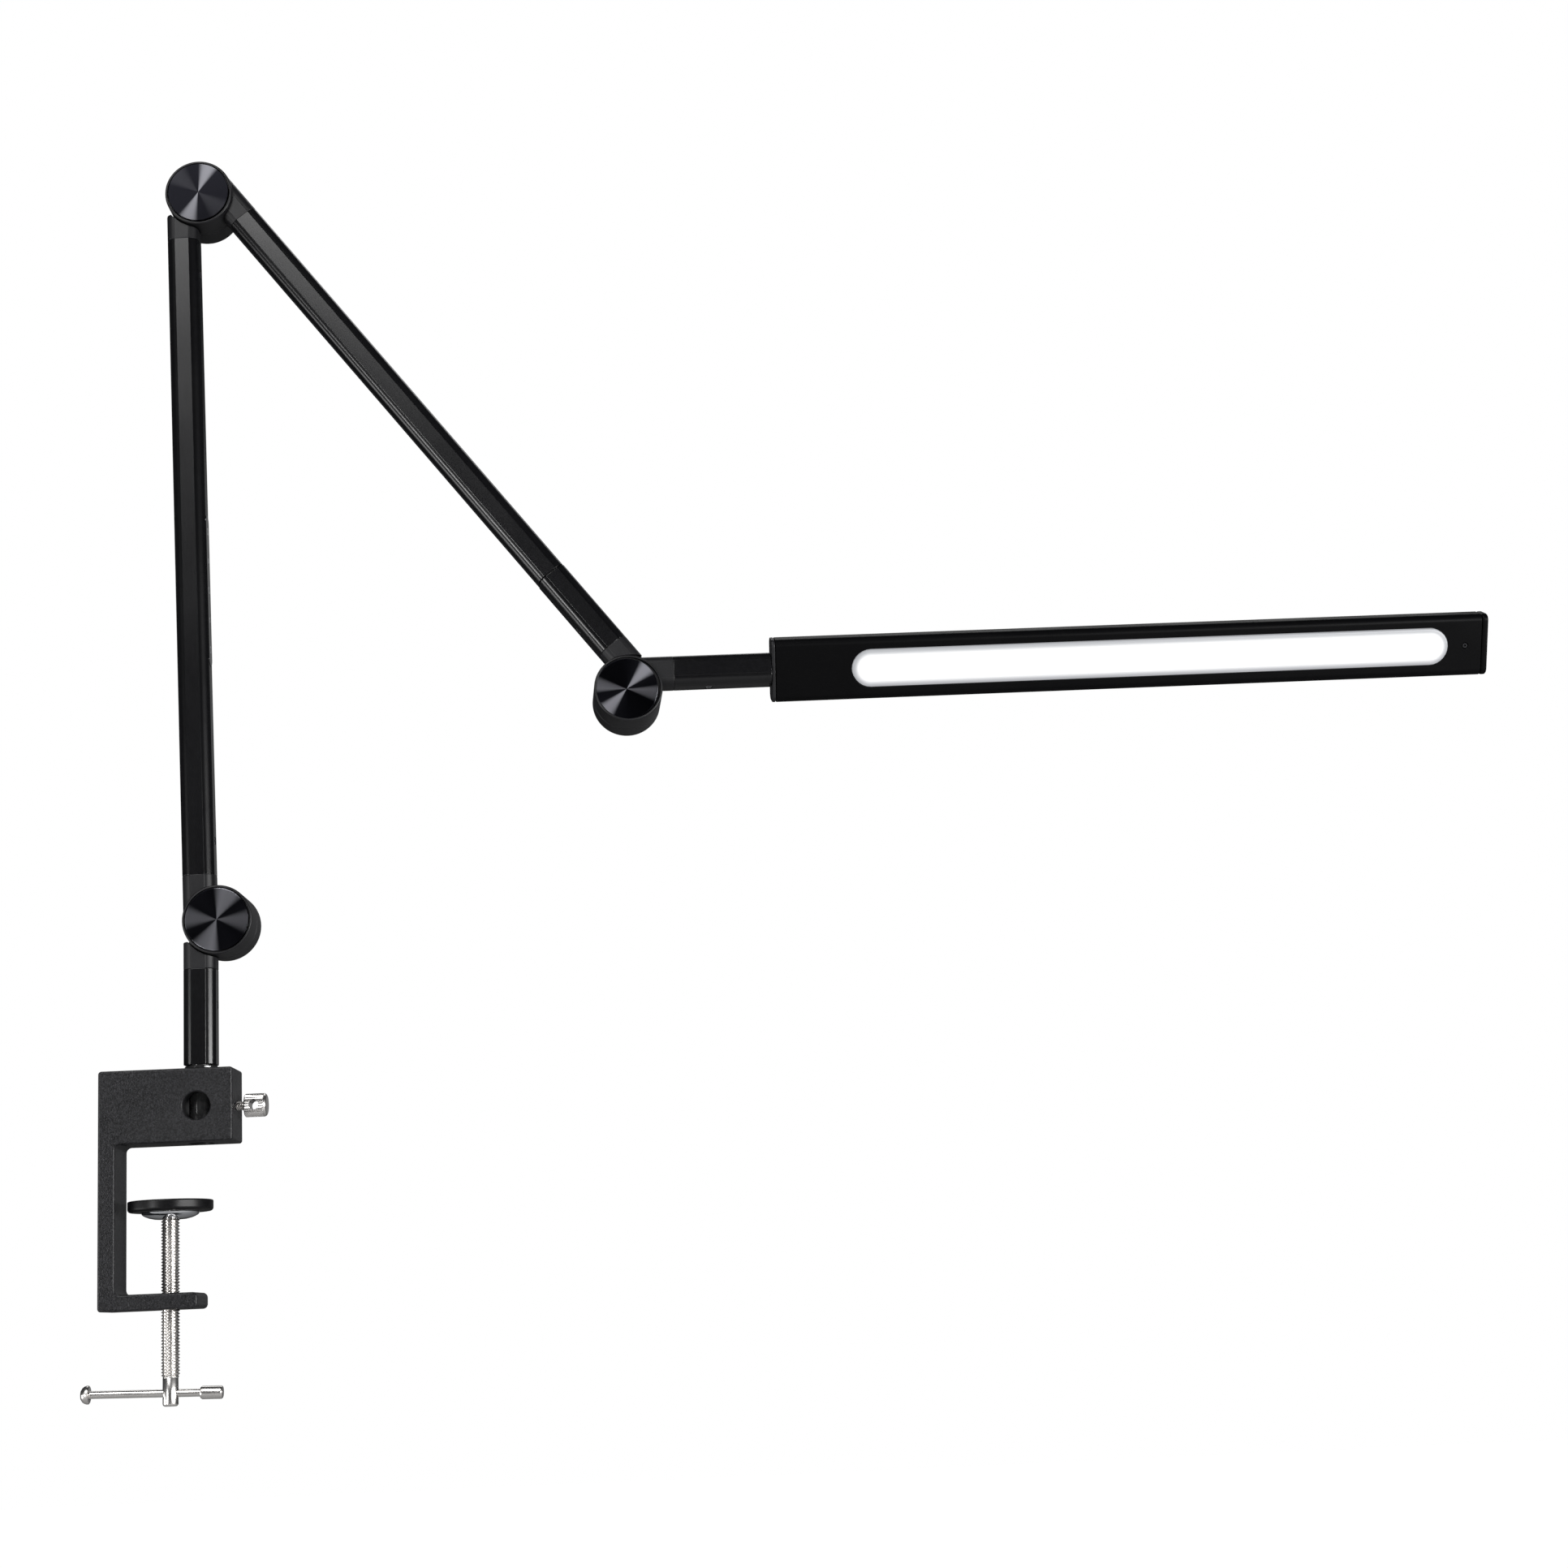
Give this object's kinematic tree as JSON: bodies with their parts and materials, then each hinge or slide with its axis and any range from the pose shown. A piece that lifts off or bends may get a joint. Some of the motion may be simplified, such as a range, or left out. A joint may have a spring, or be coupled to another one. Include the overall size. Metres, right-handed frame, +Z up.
{
  "type": "architect_desk_lamp",
  "caption": "Black architect desk lamp with a screw clamp, a swivelling pole, square-tube arms on friction hinges and a slim LED bar head that twists and rolls",
  "frame": {"origin": "On the clamp's seat, the underside of its top block, straight above the clamp spindle and midway through the clamp's depth", "axes": "+Z up along the pole, +X towards the LED head, -Y the front that the hinge caps and the light face"},
  "size_m": [0.6033, 0.0594, 0.5293],
  "materials": {
    "anodised_aluminium": "fine bead-blasted black anodising, satin",
    "charcoal_casting": "matt charcoal lacquer on die-cast metal",
    "spun_black_metal": "radially spun, black anodised",
    "charcoal_powder_coat": "coarse speckled powder coat",
    "gloss_black": "gloss black plating",
    "black_rubber": "satin moulded rubber",
    "chrome": "polished",
    "bright_nickel": "bright nickel plating",
    "touch_glass": "gloss black with pale printed marks",
    "diffuser_white": "opal light diffuser",
    "circuit_board": "white solder mask",
    "wire_jacket": "flexible black insulation",
    "white_nylon": "turned nylon",
    "bronze_bush": "sintered bronze",
    "zinc_steel": "zinc-plated steel"
  },
  "bodies": {
    "clamp": {"clamp_body": "charcoal_powder_coat"},
    "pole": {"pole_stem": "gloss_black", "power_inlet": "zinc_steel", "pole_collar": "gloss_black", "pole_tube": "anodised_aluminium", "pole_bracket": "charcoal_casting", "pole_set_screw": "zinc_steel", "pole_wire": "wire_jacket", "base_hinge_back_cap": "spun_black_metal"},
    "lower_arm": {"lower_arm_base_bracket": "charcoal_casting", "lower_arm_tube": "anodised_aluminium", "touch_panel": "touch_glass", "control_board": "circuit_board", "lower_arm_base_set_screw": "zinc_steel", "lower_arm_top_set_screw": "zinc_steel", "lower_arm_wire": "wire_jacket", "lower_arm_top_bracket": "charcoal_casting", "base_hinge_front_cap": "spun_black_metal", "base_hinge_bolt": "zinc_steel", "base_hinge_nut": "zinc_steel", "base_hinge_friction_washer": "white_nylon", "elbow_hinge_back_cap": "spun_black_metal"},
    "upper_arm": {"upper_arm_top_bracket": "charcoal_casting", "upper_arm_tube": "anodised_aluminium", "upper_arm_set_screw": "zinc_steel", "wrist_spigot": "zinc_steel", "upper_arm_wire": "wire_jacket", "elbow_hinge_front_cap": "spun_black_metal", "elbow_hinge_bolt": "zinc_steel", "elbow_hinge_nut": "zinc_steel", "elbow_hinge_friction_washer": "white_nylon"},
    "wrist": {"wrist_tube": "anodised_aluminium", "wrist_bush": "bronze_bush", "wrist_bracket": "charcoal_casting", "wrist_set_screw": "zinc_steel", "head_hinge_back_cap": "spun_black_metal"},
    "neck": {"neck_bracket": "charcoal_casting", "neck_tube": "anodised_aluminium", "neck_set_screw": "zinc_steel", "neck_spigot": "zinc_steel", "neck_wire": "wire_jacket", "head_hinge_front_cap": "spun_black_metal", "head_hinge_bolt": "zinc_steel", "head_hinge_nut": "zinc_steel", "head_hinge_friction_washer": "white_nylon"},
    "head": {"head_housing": "anodised_aluminium", "head_inner_plate": "charcoal_casting", "head_end_cap": "charcoal_casting", "head_screw": "zinc_steel", "diffuser": "diffuser_white", "led_board": "circuit_board"},
    "lock_pad": {"lock_tip": "white_nylon"},
    "lock_knob": {"lock_screw": "bright_nickel"},
    "pad": {"pad_disc": "black_rubber", "pad_cup": "chrome"},
    "spindle": {"clamp_spindle": "bright_nickel"},
    "bar": {"tommy_bar": "bright_nickel", "tommy_bar_sleeve": "bright_nickel"}
  },
  "joints": [
    {"name": "pole_swivel", "type": "hinge", "parent": "clamp", "child": "pole", "pos_m": [0.0127, 0, 0.0299], "axis": [0, 0, 1], "continuous": true},
    {"name": "base_hinge", "type": "hinge", "parent": "pole", "child": "lower_arm", "pos_m": [0.0208, 0, 0.09095], "axis": [0, 1, 0], "range_deg": [-36, 105]},
    {"name": "elbow_hinge", "type": "hinge", "parent": "lower_arm", "child": "upper_arm", "pos_m": [0.01406, 0, 0.41018], "axis": [0, 1, 0], "range_deg": [-175, 33]},
    {"name": "wrist_twist", "type": "hinge", "parent": "upper_arm", "child": "wrist", "pos_m": [0.14355, 0, 0.25754], "axis": [0.6155, 0, -0.7881], "range_deg": [-84, 96]},
    {"name": "head_hinge", "type": "hinge", "parent": "wrist", "child": "neck", "pos_m": [0.19284, -0.00089, 0.18134], "axis": [-0.0865, 0.994, -0.0675], "range_deg": [-1, 115]},
    {"name": "head_roll", "type": "hinge", "parent": "neck", "child": "head", "pos_m": [0.19263, -0.00036, 0.18942], "axis": [0.9959, 0.088, 0.0201], "range_deg": [-110, 62]},
    {"name": "spindle_turn", "type": "hinge", "parent": "pad", "child": "spindle", "pos_m": [0, 0, -0.06], "axis": [0, 0, 1], "range_deg": [-7921, 6481]},
    {"name": "pad_slide", "type": "slide", "parent": "clamp", "child": "pad", "axis": [0, 0, 1], "range_m": [-0.0275, 0.0225]},
    {"name": "bar_slide", "type": "slide", "parent": "spindle", "child": "bar", "axis": [0.9998, 0, -0.0209], "range_m": [-0.0084, 0.0288]},
    {"name": "lock_turn", "type": "hinge", "parent": "lock_pad", "child": "lock_knob", "pos_m": [0.03, 0, 0.0146], "axis": [1, 0, 0], "range_deg": [0, 2521]},
    {"name": "lock_slide", "type": "slide", "parent": "clamp", "child": "lock_pad", "axis": [1, 0, 0], "range_m": [0, 0.0049]}
  ],
  "couplings": [
    {"joint": "spindle_turn", "follows": "pad_slide", "rad_per_m": 5026.5},
    {"joint": "lock_turn", "follows": "lock_slide", "rad_per_m": 8976}
  ]
}
